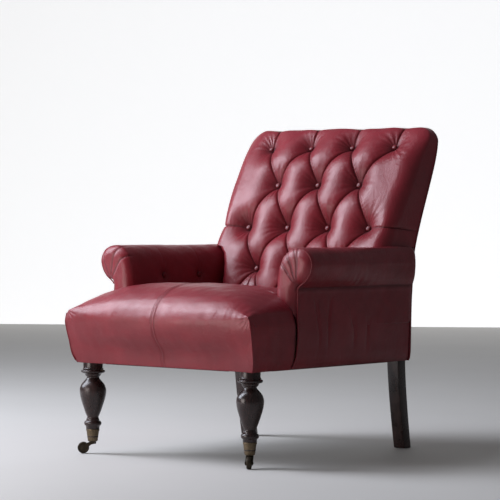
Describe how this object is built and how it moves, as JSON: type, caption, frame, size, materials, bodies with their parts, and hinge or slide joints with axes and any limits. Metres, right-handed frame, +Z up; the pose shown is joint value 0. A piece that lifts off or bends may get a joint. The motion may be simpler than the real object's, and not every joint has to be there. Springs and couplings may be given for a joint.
{
  "type": "armchair",
  "caption": "Deep-buttoned leather armchair with scrolled arms, turned front legs on brass castors and raked rear legs.",
  "frame": {"origin": "on the floor, midway between the outermost points of the two arm rolls and midway between the front of the seat and the back of the crest", "axes": "+Z up; the sitter faces -Y, so +X is at the right of someone looking at the chair from the front"},
  "size_m": [0.7464, 0.8913, 0.9199],
  "materials": {
    "red_leather": "oxblood upholstery hide, satin",
    "dark_wood": "dark stained and polished",
    "beech": "planed, unfinished, hidden",
    "aged_brass": "cast, darkened with age",
    "spring_steel": "drawn wire",
    "foam": "hair and foam padding, hidden",
    "hessian": "plain jute weave, hidden",
    "black_cambric": "plain black cloth"
  },
  "bodies": {
    "chair": {"arm_board_left": "beech", "arm_board_right": "beech", "arm_button_left_1": "red_leather", "arm_button_left_2": "red_leather", "arm_button_right_1": "red_leather", "arm_button_right_2": "red_leather", "arm_cover_left": "red_leather", "arm_cover_right": "red_leather", "arm_pad_left": "foam", "arm_pad_right": "foam", "arm_stump_left": "beech", "arm_stump_right": "beech", "back_button_1_1": "red_leather", "back_button_1_2": "red_leather", "back_button_1_3": "red_leather", "back_button_1_4": "red_leather", "back_button_2_1": "red_leather", "back_button_2_2": "red_leather", "back_button_2_3": "red_leather", "back_button_3_1": "red_leather", "back_button_3_2": "red_leather", "back_button_3_3": "red_leather", "back_button_3_4": "red_leather", "back_button_4_1": "red_leather", "back_button_4_2": "red_leather", "back_button_4_3": "red_leather", "back_pad": "foam", "back_rail": "beech", "back_webbing": "hessian", "castor_cup_left": "aged_brass", "castor_cup_right": "aged_brass", "corner_block_left": "beech", "corner_block_right": "beech", "crest_rail": "beech", "dust_cover": "black_cambric", "front_leg_left": "dark_wood", "front_leg_right": "dark_wood", "front_rail": "beech", "inside_back_cover": "red_leather", "lower_back_rail": "beech", "outside_arm_panel_left": "red_leather", "outside_arm_panel_right": "red_leather", "outside_back_panel": "red_leather", "rear_post_left": "dark_wood", "rear_post_right": "dark_wood", "seat_cover": "red_leather", "seat_hessian": "hessian", "seat_pad": "foam", "seat_spring_1": "spring_steel", "seat_spring_2": "spring_steel", "seat_spring_3": "spring_steel", "seat_spring_4": "spring_steel", "side_rail_left": "beech", "side_rail_right": "beech"},
    "castor_left": {"castor_horn_left": "aged_brass", "castor_axle_left": "aged_brass"},
    "wheel_left": {"castor_wheel_left": "aged_brass"},
    "castor_right": {"castor_horn_right": "aged_brass", "castor_axle_right": "aged_brass"},
    "wheel_right": {"castor_wheel_right": "aged_brass"}
  },
  "joints": [
    {"name": "castor_swivel_left", "type": "hinge", "parent": "chair", "child": "castor_left", "pos_m": [-0.277, -0.369, 0.036], "axis": [0, 0, 1], "continuous": true},
    {"name": "castor_roll_left", "type": "hinge", "parent": "castor_left", "child": "wheel_left", "pos_m": [-0.29749, -0.38501, 0.016], "axis": [0.6157, -0.788, 0], "continuous": true},
    {"name": "castor_swivel_right", "type": "hinge", "parent": "chair", "child": "castor_right", "pos_m": [0.277, -0.369, 0.036], "axis": [0, 0, 1], "continuous": true},
    {"name": "castor_roll_right", "type": "hinge", "parent": "castor_right", "child": "wheel_right", "pos_m": [0.29154, -0.39055, 0.016], "axis": [0.829, 0.5592, 0], "continuous": true}
  ]
}
